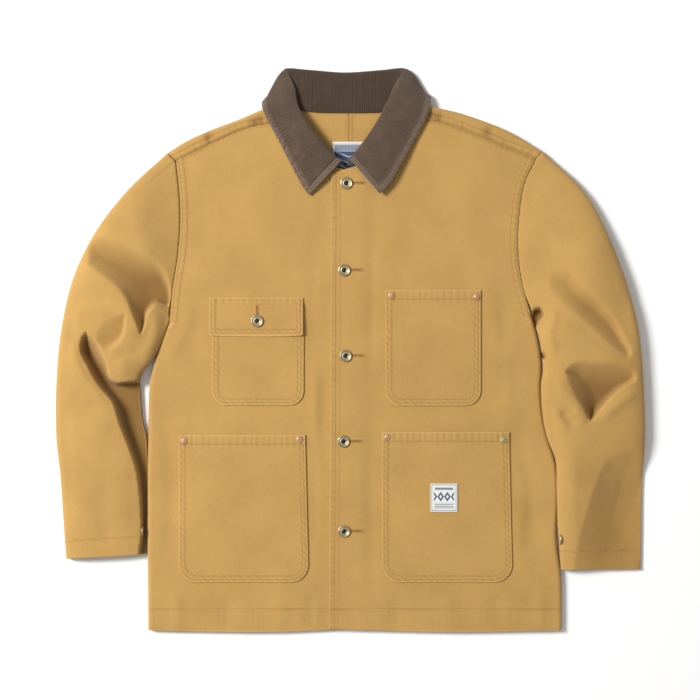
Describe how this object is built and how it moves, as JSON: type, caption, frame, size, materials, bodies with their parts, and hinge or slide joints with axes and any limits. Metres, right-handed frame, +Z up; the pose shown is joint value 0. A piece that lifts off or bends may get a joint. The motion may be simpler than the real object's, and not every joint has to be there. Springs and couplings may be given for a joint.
{
  "type": "chore jacket",
  "caption": "Buttoned canvas chore jacket laid flat front up, with a corduroy collar, patch pockets, a flapped chest pocket, shank buttons and rivets.",
  "frame": {"origin": "centre of the laid-out jacket's outline, on the surface that it lies on", "axes": "+X to the wearer's left across the sleeves, +Y from hem to collar, +Z up out of the front"},
  "size_m": [0.8128, 0.7792, 0.0288],
  "materials": {
    "canvas": "tan cotton duck canvas, matt, close plain weave with tonal twin stitching",
    "corduroy": "brown wide-wale cotton corduroy, soft pile",
    "button_brass": "antique brass ring buttons, worn satin",
    "rivet_copper": "domed copper rivets, satin",
    "label": null
  },
  "bodies": {
    "root": {"back_left": "canvas", "back_right": "canvas", "front_left": "canvas", "front_right": "canvas", "sleeve_left": "canvas", "sleeve_right": "canvas", "pocket_chest_left": "canvas", "pocket_chest_right": "canvas", "pocket_hip_left": "canvas", "pocket_hip_right": "canvas", "flap_chest_right": "canvas", "collar": "corduroy", "button_1": "button_brass", "button_2": "button_brass", "button_3": "button_brass", "button_4": "button_brass", "button_5": "button_brass", "button_flap": "button_brass", "button_cuff_left": "button_brass", "button_cuff_right": "button_brass", "rivet_chest_left_inner": "rivet_copper", "rivet_chest_left_outer": "rivet_copper", "rivet_hip_left_inner": "rivet_copper", "rivet_hip_left_outer": "rivet_copper", "rivet_hip_right_inner": "rivet_copper", "rivet_hip_right_outer": "rivet_copper", "label_pocket": "label", "label_neck": "label"}
  },
  "joints": []
}
